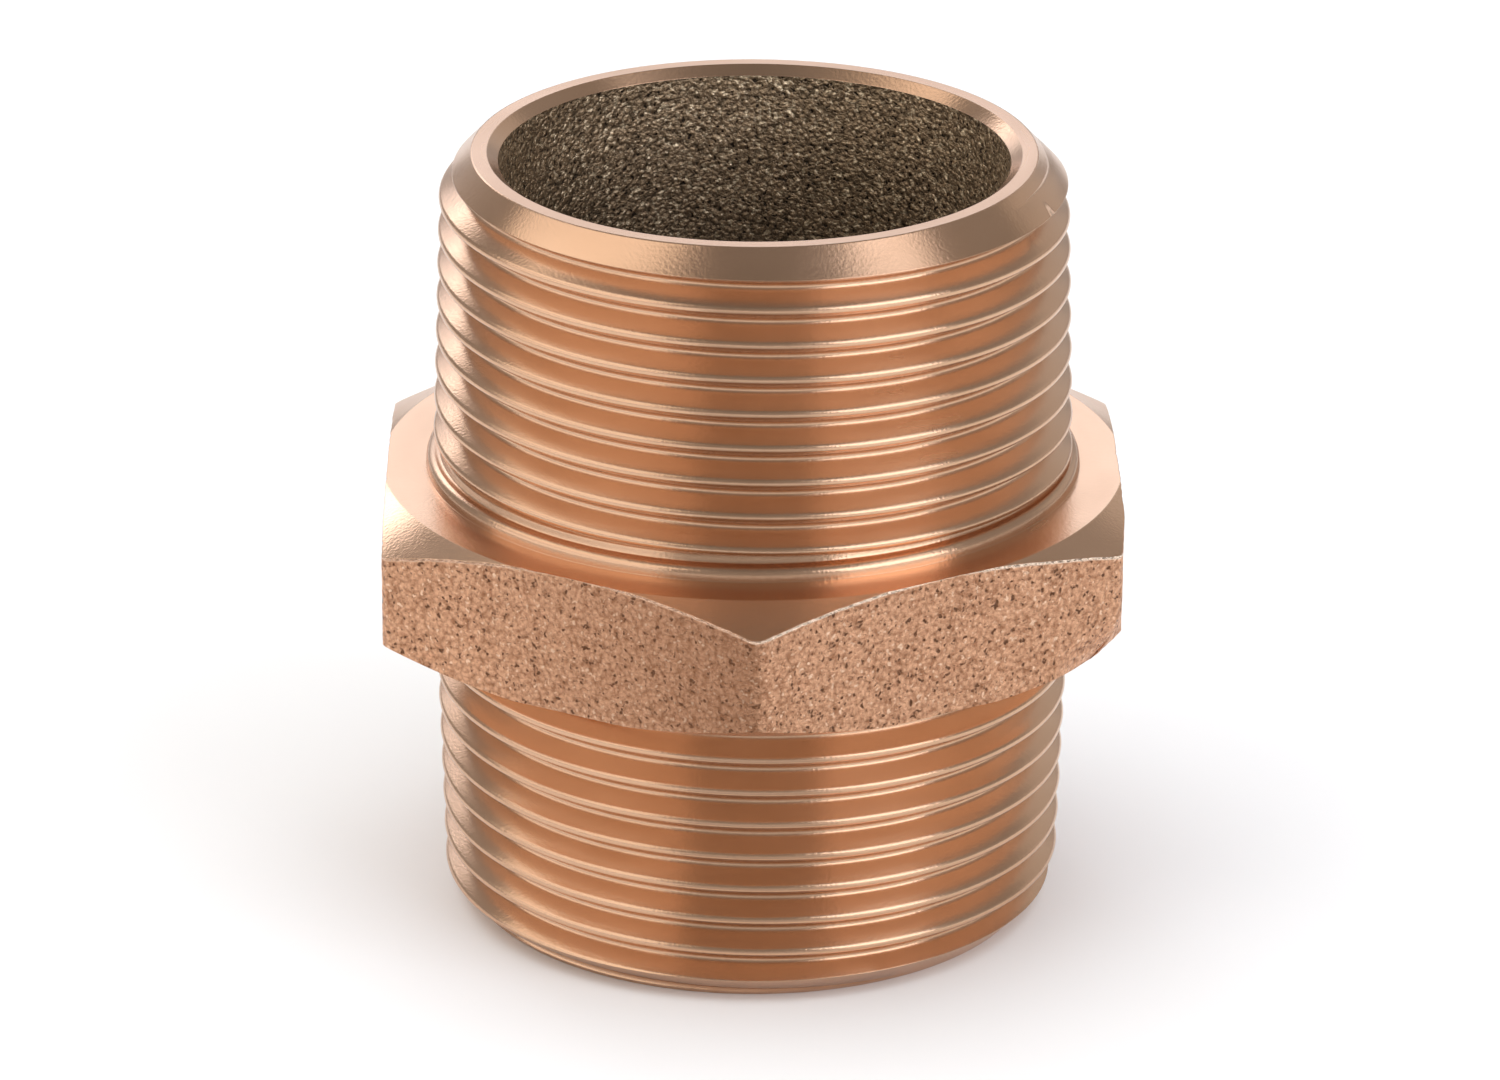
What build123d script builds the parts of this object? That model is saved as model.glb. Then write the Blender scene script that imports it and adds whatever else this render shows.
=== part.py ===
"""Hexagon pipe nipple: one bronze casting with a male taper thread on each end."""
from build123d import *
from math import atan, cos, degrees, radians, sin, tan
import os

os.makedirs("parts", exist_ok=True)

# Heights along the bore axis, from the lower end face up (mm).
overall_length = 52.0
hex_bottom = 21.0
hex_top = 30.4

# Taper pipe thread, size 1 1/4: 11 turns per inch, 55 degree rounded form, taper 1 in 16.
pitch = 25.4 / 11
thread_depth = 0.640327 * pitch
root_round = 0.137329 * pitch
flank_angle = 27.5
gauge_radius = 41.91 / 2
gauge_length = 12.7
radius_taper = 1 / 32
left_handed = True

# Height at which a thread root of each end passes the hexagon's front corner.
upper_root_height = 35.74
lower_root_height = 14.23

# Turned ends: flat rim, outer chamfer and a shallow countersink.
upper_rim_radius = 18.5
lower_rim_radius = 18.8
end_chamfer_angle = 45
countersink_radius = 17.5
countersink_depth = 0.6

# As-cast waterway.
bore_radius = 16.75

# Hexagon, bevelled by turning both of its faces.
across_flats = 48.5
hex_corner_round = 1.2
hex_face_radius = 24.55
upper_bevel_angle = 25
lower_bevel_angle = 27.5

# Flared collar on each face of the hexagon, and the ledge where the groove stops.
collar_radius = 21.65
collar_height = 0.9
ledge_height = 0.95

# Construction allowances, outside the finished part.
groove_overcut = 0.8
bevel_reach = 30.0

upper_length = overall_length - hex_top
lower_length = hex_bottom


def crest_radius(from_end):
    """Crest radius of the taper thread at a distance from its free end."""
    return gauge_radius + (from_end - gauge_length) * radius_taper


def chamfer_height(rim_radius):
    """Height of an end chamfer, from the rim to the thread crests."""
    return (crest_radius(0) - rim_radius) / (tan(radians(end_chamfer_angle)) - radius_taper)


def thread_groove(length, root_height):
    """Groove of one threaded end: z = 0 at the hexagon's face, free end up, a root at +X."""
    start_height = root_height % pitch - pitch
    start_radius = crest_radius(length - start_height) - thread_depth

    root_edge = root_round * cos(radians(flank_angle))
    root_rise = root_round * (1 - sin(radians(flank_angle)))
    mouth_rise = thread_depth + groove_overcut
    mouth_edge = root_edge + (mouth_rise - root_rise) * tan(radians(flank_angle))

    with BuildLine() as spiral:
        Helix(
            pitch=pitch,
            height=length + pitch - start_height,
            radius=start_radius,
            center=(0, 0, start_height),
            cone_angle=-degrees(atan(radius_taper)),
            lefthand=left_handed,
        )
    spiral_edge = spiral.edge()
    groove_plane = Plane(spiral_edge @ 0, x_dir=(1, 0, 0), z_dir=spiral_edge % 0)

    with BuildPart() as groove:
        with BuildSketch(groove_plane):
            with BuildLine():
                Polyline(
                    (root_rise, -root_edge),
                    (mouth_rise, -mouth_edge),
                    (mouth_rise, mouth_edge),
                    (root_rise, root_edge),
                )
                ThreePointArc((root_rise, root_edge), (0, 0), (root_rise, -root_edge))
            make_face()
        sweep(path=spiral_edge, is_frenet=True)
        split(bisect_by=Plane.XY.offset(ledge_height), keep=Keep.TOP)
    return groove.part


upper_groove = thread_groove(upper_length, upper_root_height - hex_top)
lower_groove = thread_groove(lower_length, hex_bottom - lower_root_height)
upper_face = Plane((0, 0, hex_top), x_dir=(0, -1, 0), z_dir=(0, 0, 1))
lower_face = Plane((0, 0, hex_bottom), x_dir=(0, -1, 0), z_dir=(0, 0, -1))

with BuildPart() as hexagon:
    with BuildSketch(Plane.XY.offset(hex_bottom)):
        RegularPolygon(across_flats / 2, side_count=6, major_radius=False, rotation=30)
    extrude(amount=hex_top - hex_bottom)
    fillet(hexagon.edges().filter_by(Axis.Z), radius=hex_corner_round)

    upper_drop = (bevel_reach - hex_face_radius) * tan(radians(upper_bevel_angle))
    lower_drop = (bevel_reach - hex_face_radius) * tan(radians(lower_bevel_angle))
    with BuildSketch(Plane.XZ):
        with BuildLine():
            Polyline(
                (0, hex_bottom),
                (hex_face_radius, hex_bottom),
                (bevel_reach, hex_bottom + lower_drop),
                (bevel_reach, hex_top - upper_drop),
                (hex_face_radius, hex_top),
                (0, hex_top),
                close=True,
            )
        make_face()
    revolve(axis=Axis.Z, mode=Mode.INTERSECT)

with BuildPart() as hex_nipple:
    upper_chamfer = chamfer_height(upper_rim_radius)
    lower_chamfer = chamfer_height(lower_rim_radius)
    with BuildSketch(Plane.XZ):
        with BuildLine():
            Polyline(
                (0, 0),
                (lower_rim_radius, 0),
                (crest_radius(lower_chamfer), lower_chamfer),
                (crest_radius(lower_length - collar_height), hex_bottom - collar_height),
                (collar_radius, hex_bottom),
                (collar_radius, hex_top),
                (crest_radius(upper_length - collar_height), hex_top + collar_height),
                (crest_radius(upper_chamfer), overall_length - upper_chamfer),
                (upper_rim_radius, overall_length),
                (0, overall_length),
                close=True,
            )
        make_face()
    revolve(axis=Axis.Z)
    add(hexagon.part)

    with BuildSketch(Plane.XZ):
        with BuildLine():
            Polyline(
                (0, 0),
                (countersink_radius, 0),
                (bore_radius, countersink_depth),
                (bore_radius, overall_length - countersink_depth),
                (countersink_radius, overall_length),
                (0, overall_length),
                close=True,
            )
        make_face()
    revolve(axis=Axis.Z, mode=Mode.SUBTRACT)

    with Locations(upper_face):
        add(upper_groove, mode=Mode.SUBTRACT)
    with Locations(lower_face):
        add(lower_groove, mode=Mode.SUBTRACT)

hex_nipple.part.label = "hex_nipple"
export_step(hex_nipple.part, "parts/hex_nipple.step")
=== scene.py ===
"""Visual model of the hexagon pipe nipple: threads, hexagon and bore as one closed mesh."""

import math

import bmesh
import bpy
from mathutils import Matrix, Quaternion, Vector, noise

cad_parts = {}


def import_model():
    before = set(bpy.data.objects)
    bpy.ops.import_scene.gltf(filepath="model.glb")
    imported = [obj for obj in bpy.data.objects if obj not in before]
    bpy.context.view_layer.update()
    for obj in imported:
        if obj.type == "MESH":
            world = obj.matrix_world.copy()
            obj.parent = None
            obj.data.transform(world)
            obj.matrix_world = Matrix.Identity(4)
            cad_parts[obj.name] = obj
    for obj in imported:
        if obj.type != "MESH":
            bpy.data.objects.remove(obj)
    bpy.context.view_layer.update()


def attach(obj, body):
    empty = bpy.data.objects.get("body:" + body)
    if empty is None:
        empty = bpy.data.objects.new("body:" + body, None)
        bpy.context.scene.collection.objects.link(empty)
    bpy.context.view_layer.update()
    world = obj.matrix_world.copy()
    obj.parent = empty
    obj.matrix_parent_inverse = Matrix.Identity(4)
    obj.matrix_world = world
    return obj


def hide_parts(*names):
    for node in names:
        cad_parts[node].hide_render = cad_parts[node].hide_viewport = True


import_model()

# Lengths of the geometry below are in millimetres; MM turns them into metres.
MM = 0.001

OVERALL = 52.0
HEX_BOTTOM = 21.0
HEX_TOP = 30.4

PITCH = 25.4 / 11
DEPTH = 0.640327 * PITCH
ROUND = 0.137329 * PITCH
FLANK = math.radians(27.5)
GAUGE_RADIUS = 41.91 / 2
GAUGE_LENGTH = 12.7
TAPER = 1 / 32
LEFT_HANDED = True
UPPER_ROOT = 35.74
LOWER_ROOT = 14.23

UPPER_RIM = 18.5
LOWER_RIM = 18.8
SINK_RADIUS = 17.5
SINK_DEPTH = 0.6
BORE = 16.75

ACROSS_FLATS = 48.5
CORNER_ROUND = 1.2
FACE_RADIUS = 24.55
UPPER_BEVEL = math.radians(25)
LOWER_BEVEL = math.radians(27.5)
COLLAR_RADIUS = 21.65
LEDGE = 0.95

# Points per turn of a thread, and the way the threads run: 1 for left-hand.
COLUMNS = 180
HAND = 1 if LEFT_HANDED else -1

# Vertices of the finished mesh closer than this, in metres, are one; edges past the angle are sharp.
MERGE = 1e-6
SHARP_ANGLE = math.radians(28)


# ---------------------------------------------------------------- meshes

def mesh_object(name, points, faces, *materials):
    """Object from points in millimetres, with outward normals. Faces take the first material."""
    mesh = bpy.data.meshes.new(name)
    mesh.from_pydata([Vector(p) * MM for p in points], [], faces)
    for material in materials:
        mesh.materials.append(material)
    shape = bmesh.new()
    shape.from_mesh(mesh)
    bmesh.ops.remove_doubles(shape, verts=shape.verts, dist=MERGE / 10)
    bmesh.ops.recalc_face_normals(shape, faces=shape.faces)
    for face in shape.faces:
        face.smooth = True
    shape.to_mesh(mesh)
    shape.free()
    obj = bpy.data.objects.new(name, mesh)
    bpy.context.scene.collection.objects.link(obj)
    return obj


def revolved(name, profile, material, columns=COLUMNS):
    """Closed solid of revolution. The profile runs from the axis to the axis as (radius, height)."""
    points, rings = [], []
    for radius, height in profile:
        if radius == 0:
            rings.append([len(points)] * columns)
            points.append((0, 0, height))
            continue
        first = len(points)
        rings.append(list(range(first, first + columns)))
        for i in range(columns):
            t = 2 * math.pi * i / columns
            points.append((radius * math.cos(t), radius * math.sin(t), height))
    faces = []
    for low, high in zip(rings, rings[1:]):
        for i in range(columns):
            k = (i + 1) % columns
            corner = [low[i], low[k], high[k], high[i]]
            faces.append([c for n, c in enumerate(corner) if c not in corner[:n]])
    return mesh_object(name, points, faces, material)


def combine(target, other, operation):
    """Boolean of two closed meshes; the second object is used up."""
    modifier = target.modifiers.new("combine", "BOOLEAN")
    modifier.operation = operation
    modifier.solver = "MANIFOLD"
    modifier.object = other
    modifier.material_mode = "TRANSFER"
    graph = bpy.context.evaluated_depsgraph_get()
    made = bpy.data.meshes.new_from_object(target.evaluated_get(graph))
    target.modifiers.clear()
    used = target.data
    target.data = made
    bpy.data.meshes.remove(used)
    used = other.data
    bpy.data.objects.remove(other)
    bpy.data.meshes.remove(used)
    return target


# ---------------------------------------------------------------- threads

def crest_radius(from_end):
    return GAUGE_RADIUS + (from_end - GAUGE_LENGTH) * TAPER


def thread_profile():
    """One pitch of the thread from a root up, as (height, depth below the crest cone)."""
    edge = math.pi / 2 - FLANK
    half = 3
    steps = [edge * k / half for k in range(-half, half + 1)]
    rows = [(ROUND * math.sin(a), DEPTH - ROUND * (1 - math.cos(a))) for a in steps]
    rows += [(PITCH / 2 + ROUND * math.sin(a), ROUND * (1 - math.cos(a))) for a in steps]
    return rows


def thread_rod(name, low, high, root, from_end, material):
    """Threaded bar between two heights, with a root passing -Y at the height given."""
    profile = thread_profile()
    per_turn = len(profile)
    first = math.floor((low - root) / PITCH) - 1
    last = math.ceil((high - root) / PITCH) + 2
    rows = [(root + PITCH * k + dz, sink) for k in range(first, last) for dz, sink in profile]
    points = []
    for i in range(COLUMNS):
        t = 2 * math.pi * i / COLUMNS
        for height, sink in rows:
            z = height - HAND * PITCH * i / COLUMNS
            radius = crest_radius(from_end(z)) - sink
            points.append((radius * math.sin(t), -radius * math.cos(t), z))
    count = len(rows)
    faces = []
    for i in range(COLUMNS):
        k = (i + 1) % COLUMNS
        shift = -HAND * per_turn if k == 0 else 0
        for j in range(count - 1):
            if 0 <= j + shift and j + 1 + shift < count:
                a, b = i * count + j, k * count + j + shift
                faces.append((a, b, b + 1, a + 1))
    centre = len(points)
    points += [(0, 0, rows[0][0] - PITCH), (0, 0, rows[-1][0] + PITCH)]
    uses = {}
    for face in faces:
        for a, b in zip(face, face[1:] + face[:1]):
            uses.setdefault((min(a, b), max(a, b)), []).append((a, b))
    middle = (rows[0][0] + rows[-1][0]) / 2
    for edge in uses.values():
        if len(edge) == 1:
            a, b = edge[0]
            tip = centre + (points[a][2] + points[b][2] > 2 * middle)
            faces.append((b, a, tip))
    return mesh_object(name, points, faces, material)


# ---------------------------------------------------------------- cast surfaces

# The cast skin, in millimetres: mean depth, lumps (size, height) and pits (size, depth).
SKIN = 0.05
BROAD_LUMPS = (3.2, 0.03)
FINE_LUMPS = (0.6, 0.03)
PITS = (0.7, 0.2)
PIT_START = 0.3
BORE_RELIEF = 0.8

# The worn lower end of the right front corner: how far it reaches along the flats, where it
# starts above the hexagon's lower face, the height over which it grows, and its two depths.
WORN_TURN = math.radians(-30)
WORN_REACH = 5.4
WORN_TOP = 4.5
WORN_RISE = 2.5
WORN_EVEN = 0.35
WORN_BELOW = 0.9


def grain(point, scale, seed):
    """Smooth noise from -1 to 1; scale is the size of its lumps in millimetres."""
    return noise.noise(Vector(point) / scale + Vector((seed, 2 * seed, 3 * seed)))


def cast_depth(point, seed):
    """How far an as-cast skin lies below its nominal surface, in millimetres."""
    (broad, tall), (fine, low), (pit, depth) = BROAD_LUMPS, FINE_LUMPS, PITS
    lumps = tall * grain(point, broad, seed) + low * grain(point, fine, seed + 7)
    pits = max(0.0, grain(point, pit, seed + 13) - PIT_START) * depth
    return SKIN + lumps + pits


def worn_corner(x, y, z):
    """Extra rounding, in millimetres, of the lower end of the casting's right front corner."""
    reach = ACROSS_FLATS / 2 / math.cos(math.radians(30))
    away = math.hypot(x - reach * math.cos(WORN_TURN), y - reach * math.sin(WORN_TURN))
    near = max(0.0, 1 - away / WORN_REACH)
    rise = max(0.0, HEX_BOTTOM + WORN_TOP - z) / WORN_RISE
    return near * (WORN_EVEN + WORN_BELOW * rise * rise)


def hexagon_outline(step):
    """Points of the hexagon with rounded corners, with the outward normal of each."""
    apothem = ACROSS_FLATS / 2
    tangent = CORNER_ROUND * math.tan(math.radians(30))
    half_flat = apothem * math.tan(math.radians(30)) - tangent
    corner = (apothem - CORNER_ROUND) / math.cos(math.radians(30))
    count = round(2 * half_flat / step)
    arcs = 5
    outline = []
    for side in range(6):
        facing = math.radians(60 * side)
        normal = (math.cos(facing), math.sin(facing))
        along = (-math.sin(facing), math.cos(facing))
        for k in range(count):
            s = -half_flat + 2 * half_flat * k / count
            point = [apothem * normal[0] + s * along[0], apothem * normal[1] + s * along[1]]
            outline.append((point, normal))
        turn = facing + math.radians(30)
        centre = (corner * math.cos(turn), corner * math.sin(turn))
        for k in range(arcs):
            a = facing + math.radians(60) * k / arcs
            normal = (math.cos(a), math.sin(a))
            point = [centre[0] + CORNER_ROUND * normal[0], centre[1] + CORNER_ROUND * normal[1]]
            outline.append((point, normal))
    return outline


def hexagon(name, material):
    """Hexagonal prism with a cast skin, a little taller than the finished one."""
    step, levels, over, seed = 0.27, 36, 0.2, 3.0
    outline = hexagon_outline(step)
    low, high = HEX_BOTTOM - over, HEX_TOP + over
    points = []
    for j in range(levels + 1):
        z = low + (high - low) * j / levels
        for (x, y), (nx, ny) in outline:
            sink = max(0.0, cast_depth((x, y, z), seed)) + worn_corner(x, y, z)
            points.append((x - nx * sink, y - ny * sink, z))
    around = len(outline)
    faces = []
    for j in range(levels):
        for i in range(around):
            k = (i + 1) % around
            a, b = j * around, (j + 1) * around
            faces.append((a + i, a + k, b + k, b + i))
    centre = len(points)
    points += [(0, 0, low), (0, 0, high)]
    for i in range(around):
        k = (i + 1) % around
        faces.append((k, i, centre))
        faces.append((levels * around + i, levels * around + k, centre + 1))
    return mesh_object(name, points, faces, material)


def waterway(name):
    """Cutter for the bore: a cast wall between two countersinks."""
    columns, levels, over, seed = 210, 102, 0.4, 21.0
    slope = (SINK_RADIUS - BORE) / SINK_DEPTH
    rings = [(SINK_RADIUS + slope * over, -over, 0), (BORE, SINK_DEPTH, 0)]
    for j in range(1, levels):
        rings.append((BORE, SINK_DEPTH + (OVERALL - 2 * SINK_DEPTH) * j / levels, 1))
    rings += [(BORE, OVERALL - SINK_DEPTH, 0), (SINK_RADIUS + slope * over, OVERALL + over, 0)]
    points = []
    for radius, z, rough in rings:
        for i in range(columns):
            t = 2 * math.pi * i / columns
            x, y = math.cos(t), math.sin(t)
            wall = radius
            if rough:
                place = (radius * x, radius * y, z)
                wall += SKIN - BORE_RELIEF * cast_depth(place, seed)
            points.append((wall * x, wall * y, z))
    faces = []
    for j in range(len(rings) - 1):
        for i in range(columns):
            k = (i + 1) % columns
            a, b = j * columns, (j + 1) * columns
            faces.append((a + i, a + k, b + k, b + i))
    centre = len(points)
    points += [(0, 0, -over), (0, 0, OVERALL + over)]
    last = (len(rings) - 1) * columns
    for i in range(columns):
        k = (i + 1) % columns
        faces.append((k, i, centre))
        faces.append((last + i, last + k, centre + 1))
    cutter = mesh_object(name, points, faces, bore, turned)
    for face in cutter.data.polygons:
        if abs(face.center[2] / MM - OVERALL / 2) > OVERALL / 2 - SINK_DEPTH:
            face.material_index = 1
    return cutter


# ---------------------------------------------------------------- materials

class Nodes:
    """Adds and links the nodes of one material. Lengths are in millimetres."""

    def __init__(self, material):
        material.use_nodes = True
        self.tree = material.node_tree
        self.shader = self.tree.nodes["Principled BSDF"]
        place = self.add("ShaderNodeTexCoord").outputs["Object"]
        self.place = self.scale(place, 1 / MM)

    def add(self, kind, **settings):
        node = self.tree.nodes.new(kind)
        for name, value in settings.items():
            setattr(node, name, value)
        return node

    def link(self, out, into):
        self.tree.links.new(out, into)

    def scale(self, vector, factor):
        node = self.add("ShaderNodeVectorMath", operation="SCALE")
        self.link(vector, node.inputs[0])
        node.inputs["Scale"].default_value = factor
        return node.outputs[0]

    def math(self, operation, *values):
        node = self.add("ShaderNodeMath", operation=operation)
        for slot, value in enumerate(values):
            if isinstance(value, (int, float)):
                node.inputs[slot].default_value = value
            else:
                self.link(value, node.inputs[slot])
        return node.outputs[0]

    def noise(self, vector, size, detail=2.0, roughness=0.5, w=None):
        """Noise with lumps about size millimetres wide; w adds a fourth coordinate."""
        node = self.add("ShaderNodeTexNoise", noise_dimensions="3D" if w is None else "4D")
        self.link(vector, node.inputs["Vector"])
        node.inputs["Scale"].default_value = 1 / size
        node.inputs["Detail"].default_value = detail
        node.inputs["Roughness"].default_value = roughness
        if w is not None:
            self.link(w, node.inputs["W"])
        return node.outputs["Fac"]

    def sand(self, vector, size):
        """Rounded grains about size millimetres wide, from 0 between them to 1 at their tops."""
        node = self.add("ShaderNodeTexVoronoi", feature="SMOOTH_F1")
        self.link(vector, node.inputs["Vector"])
        node.inputs["Scale"].default_value = 1 / size
        node.inputs["Smoothness"].default_value = 0.5
        return self.math("SUBTRACT", 1.0, node.outputs["Distance"])

    def split(self):
        """Distance from the axis and height, in millimetres."""
        node = self.add("ShaderNodeSeparateXYZ")
        self.link(self.place, node.inputs[0])
        x, y, z = node.outputs
        squares = self.math("ADD", self.math("MULTIPLY", x, x), self.math("MULTIPLY", y, y))
        return self.math("SQRT", squares), z

    def across(self):
        """Position across the flats, from 0 at the left (-X) to 1 at the right."""
        node = self.add("ShaderNodeSeparateXYZ")
        self.link(self.place, node.inputs[0])
        return self.math("ADD", self.math("DIVIDE", node.outputs["X"], ACROSS_FLATS), 0.5)

    def blend(self, share, low, high):
        """Mix of two colours, each a socket or a fixed colour."""
        node = self.add("ShaderNodeMix", data_type="RGBA")
        self.link(share, node.inputs["Factor"])
        for name, shade in (("A", low), ("B", high)):
            socket = [i for i in node.inputs if i.name == name and i.type == "RGBA"][0]
            if isinstance(shade, tuple):
                socket.default_value = (*shade, 1)
            else:
                self.link(shade, socket)
        return [o for o in node.outputs if o.type == "RGBA"][0]

    def ramp(self, value, stops):
        """Colour ramp from (position, grey or colour) stops."""
        node = self.add("ShaderNodeValToRGB")
        self.link(value, node.inputs[0])
        elements = node.color_ramp.elements
        while len(elements) < len(stops):
            elements.new(1.0)
        for element, (position, shade) in zip(elements, stops):
            element.position = position
            rgb = (shade,) * 3 if isinstance(shade, (int, float)) else shade
            element.color = (*rgb, 1)
        return node.outputs["Color"]

    def bump(self, height, distance, strength, normal=None):
        """Bump with its height in millimetres."""
        node = self.add("ShaderNodeBump")
        node.inputs["Strength"].default_value = strength
        node.inputs["Distance"].default_value = distance * MM
        self.link(height, node.inputs["Height"])
        if normal is not None:
            self.link(normal, node.inputs["Normal"])
        return node.outputs["Normal"]

    def rounded_edges(self, radius):
        node = self.add("ShaderNodeBevel", samples=4)
        node.inputs["Radius"].default_value = radius * MM
        return node.outputs["Normal"]

    def set(self, name, value):
        self.shader.inputs[name].default_value = value


DARK_BRONZE = (0.615, 0.375, 0.235)
LIGHT_BRONZE = (0.685, 0.43, 0.28)


def turned_bronze(name, anisotropy, smooth, coarse, shade=1.0):
    """Machined bronze: fine tool lines round the axis, so highlights stretch across them.

    Smooth and coarse are the limits of its roughness; shade scales its colour, and a shade above 1
    paints in extra light."""
    material = bpy.data.materials.new(name)
    n = Nodes(material)
    radius, z = n.split()
    middle = (HEX_TOP + HEX_BOTTOM) / 2
    from_middle = n.math("ABSOLUTE", n.math("SUBTRACT", z, middle))
    straight = n.math("ADD", radius, n.math("MULTIPLY", from_middle, TAPER))
    lines = n.noise(n.place, 14.0, detail=3.0, w=n.math("MULTIPLY", straight, 6.5))
    broad = n.noise(n.place, 9.0, detail=2.0, w=n.math("MULTIPLY", straight, 1.6))
    sand = n.noise(n.place, 0.22, detail=1.0)
    low, high = [[shade * c for c in tone] for tone in (DARK_BRONZE, LIGHT_BRONZE)]
    colour = n.ramp(broad, [(0.3, low), (0.7, high)])
    n.link(colour, n.shader.inputs["Base Color"])
    n.link(n.ramp(lines, [(0.25, smooth), (0.75, coarse)]), n.shader.inputs["Roughness"])
    n.set("Metallic", 1.0)
    n.set("Anisotropic", anisotropy)
    n.set("Anisotropic Rotation", 0.25)
    tangent = n.add("ShaderNodeTangent", direction_type="RADIAL", axis="Z")
    n.link(tangent.outputs[0], n.shader.inputs["Tangent"])
    edge = n.rounded_edges(0.09)
    lined = n.bump(lines, 0.02, 0.5, edge)
    n.link(n.bump(sand, 0.02, 0.5, lined), n.shader.inputs["Normal"])
    return material


def cast_bronze(name, shades, roughness, grains, relief, glint_start):
    """As-cast bronze skin, and what the functions below need to add to it.

    Shades: pits and the gaps between the sand grains, darker as painted shade; the grains' tops,
    lighter as painted light; bright specks as painted glints. Grains is the size of a grain, relief
    the height of the bump, and the last argument the noise above which a painted glint shows."""
    material = bpy.data.materials.new(name)
    n = Nodes(material)
    sand = n.math("MULTIPLY", n.sand(n.place, grains), 0.4)
    fine = n.math("MULTIPLY", n.noise(n.place, 0.5 * grains, detail=2.0, roughness=0.65), 0.45)
    coarse = n.math("MULTIPLY", n.noise(n.place, 8.0 * grains, detail=2.0), 0.15)
    height = n.math("ADD", sand, n.math("ADD", fine, coarse))
    spots = n.noise(n.place, 1.1 * grains, detail=1.0)
    pit, low, high, glint_colour = shades
    # Painted shade between the grains and in the pits, painted light on the grains' tops, and painted
    # glints on the specks.
    colour = n.ramp(height, [(0.32, low), (0.62, high)])
    colour = n.blend(n.ramp(spots, [(0.28, 1.0), (0.36, 0.0)]), colour, pit)
    colour = n.blend(n.ramp(spots, [(glint_start, 0.0), (glint_start + 0.09, 1.0)]), colour, glint_colour)
    height = n.math("ADD", height, n.ramp(spots, [(0.27, 0.0), (0.38, 0.4)]))
    n.link(colour, n.shader.inputs["Base Color"])
    n.set("Metallic", 0.9)
    n.set("Roughness", roughness)
    n.link(n.bump(height, relief, 1.0), n.shader.inputs["Normal"])
    return material, n, colour, height


def worn_arcs_and_painted_highlight(n, colour, height, roughness, relief):
    """Burnished, rounded line where the upper bevel meets the cast flats of the hexagon. Its colour
    is partly burnished metal and partly a painted highlight, whiter towards the right.
    """
    solid, width = 0.14, 0.24
    radius, z = n.split()
    out = n.math("SUBTRACT", radius, FACE_RADIUS)
    bevel = n.math("SUBTRACT", HEX_TOP, n.math("MULTIPLY", out, math.tan(UPPER_BEVEL)))
    gap = n.math("SUBTRACT", bevel, z)
    near = n.ramp(gap, [(solid, 1.0), (width, 0.0)])
    # Painted highlight: the line's colour runs from burnished bronze on the left to near white on the
    # right.
    burnish_and_highlight = n.ramp(n.across(), [(0.48, (0.74, 0.46, 0.31)), (0.52, (0.97, 0.74, 0.57))])
    n.link(n.blend(near, colour, burnish_and_highlight), n.shader.inputs["Base Color"])
    n.link(n.ramp(gap, [(solid, 0.25), (width, roughness)]), n.shader.inputs["Roughness"])
    reach = n.math("MAXIMUM", n.math("SUBTRACT", width, gap), 0.0)
    drop = n.math("MULTIPLY", n.math("MULTIPLY", reach, reach), -0.5 / width)
    rounded = n.bump(drop, 1.0, 1.0)
    n.link(n.bump(height, relief, 1.0, rounded), n.shader.inputs["Normal"])


def paint_shade_left_flats(n, colour):
    """Painted shade: browner, darker skin on the left-hand flats, growing towards the front and back
    corners.
    """
    share = n.ramp(n.across(), [(0.10, 0.0), (0.30, 0.22), (0.48, 0.50), (0.497, 0.50), (0.512, 0.0)])
    return n.blend(share, colour, (0.22, 0.09, 0.04))


def paint_bore_shade(n, colour):
    """Painted shade that gets darker away from both mouths of the bore."""
    z = n.split()[1]
    inside = n.math("DIVIDE", n.math("MINIMUM", z, n.math("SUBTRACT", OVERALL, z)), OVERALL / 2)
    share = n.ramp(inside, [(0.15, 0.0), (0.55, 0.45)])
    n.link(n.blend(share, colour, (0.04, 0.03, 0.02)), n.shader.inputs["Base Color"])


# ---------------------------------------------------------------- the fitting

CAST_ROUGHNESS = 0.42
CAST_RELIEF = 0.38

turned = turned_bronze("turned_bronze", 0.72, 0.20, 0.28)
faced = turned_bronze("faced_bronze", 0.3, 0.24, 0.32)
# The same turned bronze with its colour raised by 1.17: painted light on the hexagon's turned faces
# and bevels.
painted_light_ring = turned_bronze("ring_bronze_painted_light", 0.72, 0.20, 0.28, 1.17)
cast, nodes, skin_colour, skin_height = cast_bronze(
    "cast_bronze",
    ((0.18, 0.08, 0.04), (0.375, 0.17, 0.085), (0.79, 0.44, 0.265), (0.90, 0.60, 0.41)),
    CAST_ROUGHNESS, 0.33, CAST_RELIEF, 0.64)
# The cast skin, with painted shade on the left flats and a painted highlight on the upper arcs.
worn_arcs_and_painted_highlight(nodes, paint_shade_left_flats(nodes, skin_colour), skin_height, CAST_ROUGHNESS, CAST_RELIEF)
bore, nodes, skin_colour, _ = cast_bronze(
    "bore_bronze",
    ((0.05, 0.035, 0.024), (0.14, 0.10, 0.06), (0.55, 0.385, 0.24), (0.95, 0.75, 0.51)),
    0.38, 0.34, 0.33, 0.58)
# Painted shade, darker deeper inside the bore.
paint_bore_shade(nodes, skin_colour)


def is_level(face):
    return abs(face.normal.z) > 0.999


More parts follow.
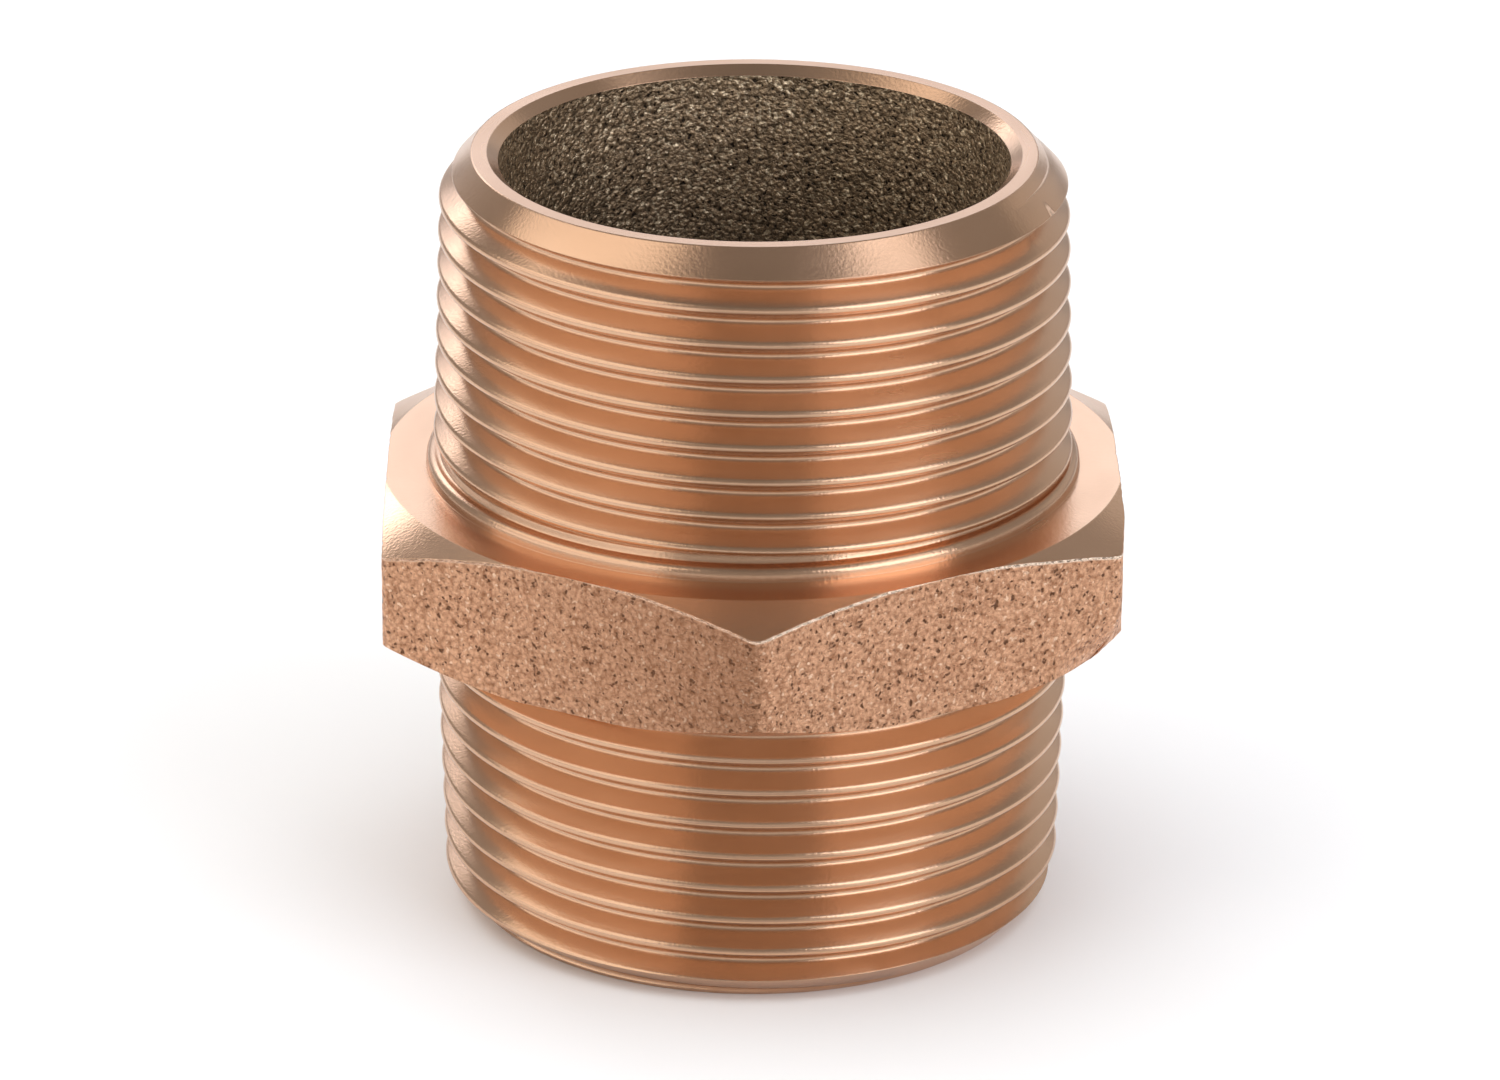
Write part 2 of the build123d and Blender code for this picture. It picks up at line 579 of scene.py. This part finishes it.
def end_envelope(name, rim, inner, face, outer):
    """Turned outside of one end: from inside the collar to the flat rim."""
    direction = 1 if outer > face else -1
    chamfer = (crest_radius(0) - rim) / (1 - TAPER)
    edge, over = 0.12, 2
    profile = [
        (0, inner),
        (crest_radius(abs(outer - inner)) + over, inner),
        (crest_radius(0) + over, outer - direction * (chamfer + over)),
        (rim + edge, outer - direction * edge),
        (rim + edge * 0.4, outer - direction * edge * 0.25),
        (rim - edge * 0.4, outer),
        (0, outer),
    ]
    envelope = revolved(name, profile, turned)
    envelope.data.materials.append(faced)
    for polygon in envelope.data.polygons:
        if is_level(polygon) and abs(polygon.center.z / MM - outer) < edge:
            polygon.material_index = 1
    return envelope


def collar(name, face, direction, outer):
    """Collar between the hexagon and a thread: a rounded lip, then a fillet that ends the groove."""
    wall = crest_radius(abs(outer - face) - LEDGE) - DEPTH + ROUND
    profile = [
        (0, face - direction),
        (COLLAR_RADIUS, face - direction),
        (COLLAR_RADIUS, face),
        (COLLAR_RADIUS - 0.02, face + direction * 0.44),
        (COLLAR_RADIUS - 0.08, face + direction * 0.60),
        (COLLAR_RADIUS - 0.19, face + direction * 0.74),
        (COLLAR_RADIUS - 0.34, face + direction * 0.84),
        (COLLAR_RADIUS - 0.52, face + direction * 0.89),
        (COLLAR_RADIUS - 0.68, face + direction * 0.885),
        (COLLAR_RADIUS - 0.80, face + direction * 0.90),
        (COLLAR_RADIUS - 0.90, face + direction * 0.96),
        (COLLAR_RADIUS - 0.95, face + direction * 1.06),
        (COLLAR_RADIUS - 0.98, face + direction * 1.22),
        (COLLAR_RADIUS - 1.04, face + direction * 1.38),
        (COLLAR_RADIUS - 1.20, face + direction * 1.52),
        (wall + 0.10, face + direction * 1.62),
        (wall, face + direction * 1.66),
        (0, face + direction * 1.66),
    ]
    return revolved(name, profile, turned)


def bevel_envelope(name):
    """Turned faces of the hexagon: flat rings and the cones that clip its corners."""
    reach = 30.0
    upper = (reach - FACE_RADIUS) * math.tan(UPPER_BEVEL)
    lower = (reach - FACE_RADIUS) * math.tan(LOWER_BEVEL)
    profile = [
        (0, HEX_BOTTOM),
        (FACE_RADIUS, HEX_BOTTOM),
        (reach, HEX_BOTTOM + lower),
        (reach, HEX_TOP - upper),
        (FACE_RADIUS, HEX_TOP),
        (0, HEX_TOP),
    ]
    # These faces take the turned bronze that is painted lighter.
    return revolved(name, profile, painted_light_ring, columns=360)


def crisp_faces(mesh):
    """Merges slivers left by the booleans, and keeps the edges of the turned flat rings sharp."""
    shape = bmesh.new()
    shape.from_mesh(mesh)
    bmesh.ops.remove_doubles(shape, verts=shape.verts, dist=MERGE)
    for edge in shape.edges:
        level = [is_level(face) for face in edge.link_faces]
        if any(level) and not all(level):
            edge.smooth = False
    shape.to_mesh(mesh)
    shape.free()


def build_fitting():
    """The whole casting as one mesh: hexagon, collars and threads, less the waterway."""
    inside = 0.6
    upper = thread_rod("upper", HEX_TOP, OVERALL, UPPER_ROOT, lambda z: OVERALL - z, turned)
    end = end_envelope("end", UPPER_RIM, HEX_TOP + inside, HEX_TOP, OVERALL)
    combine(upper, end, "INTERSECT")
    lower = thread_rod("lower", 0, HEX_BOTTOM, LOWER_ROOT, lambda z: z, turned)
    end = end_envelope("end", LOWER_RIM, HEX_BOTTOM - inside, HEX_BOTTOM, 0)
    combine(lower, end, "INTERSECT")
    body = hexagon("hex_nipple_visual", cast)
    combine(body, bevel_envelope("bevels"), "INTERSECT")
    combine(body, collar("collar", HEX_TOP, 1, OVERALL), "UNION")
    combine(body, collar("collar", HEX_BOTTOM, -1, 0), "UNION")
    combine(body, upper, "UNION")
    combine(body, lower, "UNION")
    combine(body, waterway("waterway"), "DIFFERENCE")
    body.data.set_sharp_from_angle(angle=SHARP_ANGLE)
    crisp_faces(body.data)
    return body


fitting = build_fitting()
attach(fitting, "root")
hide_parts("hex_nipple")


# ---------------------------------------------------------------- stage

def sheet(name, corners, shade):
    """Matt grey sheet of the set, from its four corners in metres."""
    material = bpy.data.materials.new(name)
    material.use_nodes = True
    shader = material.node_tree.nodes["Principled BSDF"]
    shader.inputs["Base Color"].default_value = (shade, shade, shade, 1)
    shader.inputs["Roughness"].default_value = 0.9
    shader.inputs["Specular IOR Level"].default_value = 0.0
    mesh = bpy.data.meshes.new(name)
    mesh.from_pydata(corners, [], [(0, 1, 2, 3)])
    mesh.materials.append(material)
    plane = bpy.data.objects.new(name, mesh)
    bpy.context.scene.collection.objects.link(plane)
    return plane


def floor():
    half = 6.0
    corners = [(-half, -half, 0), (half, -half, 0), (half, half, 0), (-half, half, 0)]
    sheet("floor", corners, 0.92)


def grey_card():
    """Sheet on the floor that only reflections show: it darkens the front of the threads."""
    near, far, z = -0.027, -0.16, 0.0005
    corners = [(-0.010, near, z), (0.012, near, z), (0.058, far, z), (-0.056, far, z)]
    card = sheet("card", corners, 0.5)
    card.visible_camera = False
    card.visible_diffuse = False
    card.visible_shadow = False


def softbox(name, azimuth, elevation, distance, width, height, radiance,
            colour=(1, 1, 1), glossy=True):
    """Rectangular light aimed at the fitting. Azimuth 0 is the front, 90 the right."""
    a, e = math.radians(azimuth), math.radians(elevation)
    back = Vector((math.sin(a) * math.cos(e), -math.cos(a) * math.cos(e), math.sin(e)))
    data = bpy.data.lights.new(name, "AREA")
    data.shape = "RECTANGLE"
    data.size = width
    data.size_y = height
    data.energy = radiance * math.pi * width * height
    data.color = colour
    light = bpy.data.objects.new(name, data)
    light.location = Vector((0, 0, OVERALL / 2 * MM)) + back * distance
    light.rotation_mode = "QUATERNION"
    light.rotation_quaternion = back.to_track_quat("Z", "Y")
    light.visible_camera = False
    light.visible_glossy = glossy
    bpy.context.scene.collection.objects.link(light)


def world():
    """Grey surroundings, palest at the horizon and darkest overhead."""
    made = bpy.data.worlds.new("studio")
    made.use_nodes = True
    tree = made.node_tree
    background = tree.nodes["Background"]
    place = tree.nodes.new("ShaderNodeTexCoord")
    split = tree.nodes.new("ShaderNodeSeparateXYZ")
    ramp = tree.nodes.new("ShaderNodeValToRGB")
    tree.links.new(place.outputs["Generated"], split.inputs[0])
    tree.links.new(split.outputs["Z"], ramp.inputs[0])
    tree.links.new(ramp.outputs["Color"], background.inputs["Color"])
    stops = [(0.0, 0.45), (0.12, 0.42), (0.45, 0.34), (0.75, 0.34), (1.0, 0.22)]
    elements = ramp.color_ramp.elements
    while len(elements) < len(stops):
        elements.new(1.0)
    for element, (position, shade) in zip(elements, stops):
        element.position = position
        element.color = (shade, shade, shade, 1)
    bpy.context.scene.world = made


floor()
grey_card()
world()
softbox("left", -77.5, 50, 1.2, 1.55, 0.60, 1.15, (1.03, 1.0, 0.94))
softbox("left_low", -66, 20, 1.2, 1.60, 0.5, 1.12)
softbox("right_high", 73, 55, 1.2, 0.55, 0.34, 1.15, (0.97, 1.0, 1.08))
softbox("right_low", 50, 27, 1.2, 0.86, 0.80, 2.5, (0.95, 1.0, 1.10))
softbox("back_right", 140, 19, 1.4, 0.92, 0.5, 0.24, (1.0, 0.98, 0.93))
softbox("back", 189, 22.5, 1.5, 1.18, 0.556, 1.12, (0.93, 1.0, 1.14))
softbox("back_left", 206.5, 27, 1.48, 0.39, 0.33, 1.8, (0.95, 1.0, 1.1))
softbox("floor_fill", 0, 90, 2.0, 2.5, 2.5, 1.6, glossy=False)


# ---------------------------------------------------------------- camera

camera_data = bpy.data.cameras.new("camera")
camera_data.sensor_width = 36.0
camera_data.lens = 181.7
camera_data.clip_start = 0.05
camera_data.clip_end = 50
camera = bpy.data.objects.new("camera", camera_data)
camera.location = Vector((-5.67, -466.88, 215.86)) * MM
pitch_down, yaw, roll = math.radians(22.29), 0.0118, -0.0056
forward = Vector((yaw * math.cos(pitch_down), math.cos(pitch_down), -math.sin(pitch_down)))
camera.rotation_mode = "QUATERNION"
camera.rotation_quaternion = Quaternion(forward, roll) @ forward.to_track_quat("-Z", "Y")
bpy.context.scene.collection.objects.link(camera)
bpy.context.scene.camera = camera
bpy.context.scene.view_settings.view_transform = "Standard"
